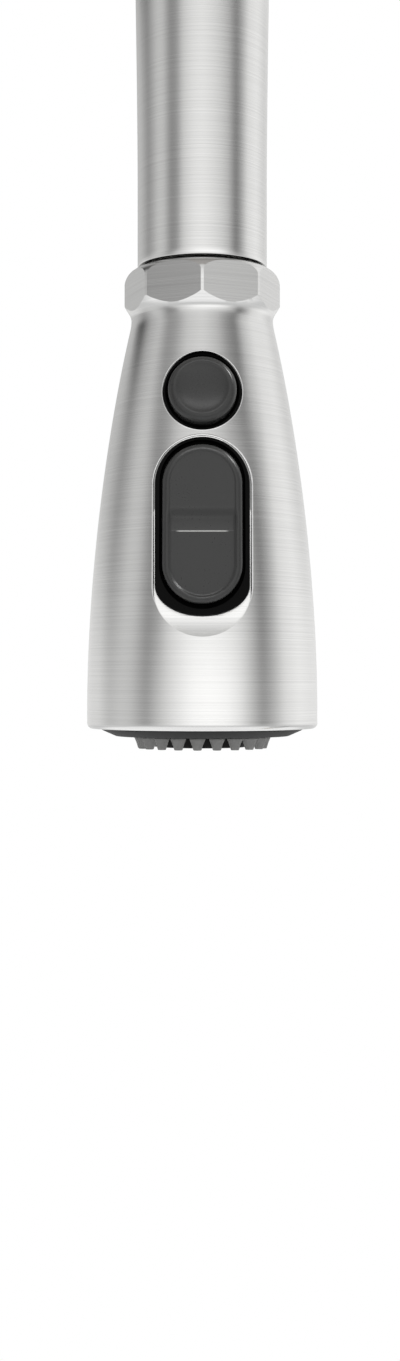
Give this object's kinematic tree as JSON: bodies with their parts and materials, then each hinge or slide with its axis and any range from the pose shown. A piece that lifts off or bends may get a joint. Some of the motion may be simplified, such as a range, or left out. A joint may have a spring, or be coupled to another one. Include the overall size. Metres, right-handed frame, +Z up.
{
  "type": "pull-down kitchen faucet",
  "caption": "Gooseneck kitchen faucet with a magnetically docked pull-down spray head, a round button and a two-way rocker on the head, and a side lever.",
  "frame": {"origin": "centre of the deck hole, on the deck's top surface", "axes": "+Z up out of the deck; the spout reaches along -X; the lever and the spray head's buttons face -Y, on the right of someone who faces +X"},
  "size_m": [0.2633, 0.103, 0.578],
  "materials": {
    "steel": "brushed around",
    "chrome": "polished",
    "brass": "machined",
    "copper": "drawn copper tube",
    "zinc": "zinc plated",
    "pin": "ground",
    "spring": "drawn wire",
    "magnet": "nickel plated magnet",
    "grey": "satin dark grey",
    "black": "satin black",
    "face": "fine texture",
    "silicone": "soft grey silicone",
    "rubber": "matte",
    "plastic": "moulded",
    "filter": "moulded",
    "ceramic": "lapped ceramic",
    "braid": "woven sleeve"
  },
  "bodies": {
    "base": {"faucet_body": "steel", "deck_flange": "steel", "flange_gasket": "rubber", "mounting_shank": "brass", "rubber_washer": "rubber", "steel_washer": "zinc", "mounting_nut": "brass", "jack_screw_left": "zinc", "jack_screw_right": "zinc", "hot_inlet": "copper", "cold_inlet": "copper", "valve_outlet": "copper", "upper_bush": "plastic", "lower_bush": "plastic", "cartridge_housing": "plastic", "fixed_disc": "ceramic", "cartridge_nut": "brass", "valve_cover": "steel"},
    "spout": {"spout_tube": "steel", "spout_stub": "brass", "dock_magnet": "magnet", "dock_guide": "black", "hose_upper": "braid", "hose_coupling": "brass"},
    "hose_end": {"hose_fitting": "brass", "hose_ferrule": "chrome", "hose_run": "braid"},
    "head": {"head_shell": "steel", "rocker_bezel": "black", "rocker_pin": "pin", "button_cup": "black", "waterway_core": "plastic", "check_valve_housing": "filter", "inlet_screen": "filter", "inlet_o_ring": "rubber", "dock_spigot": "black", "head_magnet": "magnet", "spray_face": "face", "nozzle_ring": "silicone", "aerator_housing": "face", "aerator_insert": "filter", "face_o_ring": "rubber", "face_gasket": "rubber"},
    "button": {"round_button": "grey", "button_spring": "spring"},
    "rocker": {"rocker_button": "grey"},
    "diverter": {"diverter_spool": "plastic"},
    "check_valve": {"check_poppet": "plastic", "check_spring": "spring"},
    "stem_rotor": {"stem_carrier": "plastic"},
    "lever": {"lever_handle": "steel", "valve_stem": "brass", "grub_screw": "zinc"},
    "disc": {"moving_disc": "ceramic"}
  },
  "joints": [
    {"name": "spout_swivel", "type": "hinge", "parent": "base", "child": "spout", "pos_m": [0, 0, 0.1], "axis": [0, 0, 1], "continuous": true},
    {"name": "head_pull", "type": "slide", "parent": "spout", "child": "hose_end", "axis": [0, 0, -1], "range_m": [0, 0.4], "stiffness_N_per_m": 6, "springref_m": -1.4, "deforming": ["hose_run"]},
    {"name": "head_turn", "type": "hinge", "parent": "hose_end", "child": "head", "pos_m": [-0.21, 0, 0.28], "axis": [0, 0, 1], "continuous": true},
    {"name": "button_press", "type": "slide", "parent": "head", "child": "button", "axis": [0, 0.9823, -0.1874], "range_m": [0, 0.002], "stiffness_N_per_m": 500, "springref_m": -0.002, "deforming": ["button_spring"]},
    {"name": "rocker_tilt", "type": "hinge", "parent": "head", "child": "rocker", "pos_m": [-0.21, -0.016, 0.2288], "axis": [1, 0, 0], "range_deg": [-5, 5]},
    {"name": "diverter_shift", "type": "slide", "parent": "head", "child": "diverter", "axis": [0, 0, 1], "range_m": [-0.00116, 0.00116]},
    {"name": "check_lift", "type": "slide", "parent": "head", "child": "check_valve", "axis": [0, 0, -1], "range_m": [0, 0.0015], "stiffness_N_per_m": 120, "springref_m": -0.002, "deforming": ["check_spring"]},
    {"name": "lever_turn", "type": "hinge", "parent": "base", "child": "stem_rotor", "pos_m": [0, -0.044, 0.058], "axis": [0, -1, 0], "range_deg": [-45, 45]},
    {"name": "lever_lift", "type": "hinge", "parent": "stem_rotor", "child": "lever", "pos_m": [0, -0.044, 0.058], "axis": [1, 0, 0], "range_deg": [0, 25]},
    {"name": "disc_slide", "type": "slide", "parent": "stem_rotor", "child": "disc", "axis": [0, 0, 1], "range_m": [0, 0.0053]}
  ],
  "couplings": [
    {"joint": "rocker_tilt", "follows": "diverter_shift", "rad_per_m": 75.2},
    {"joint": "disc_slide", "follows": "lever_lift", "m_per_rad": 0.012}
  ]
}
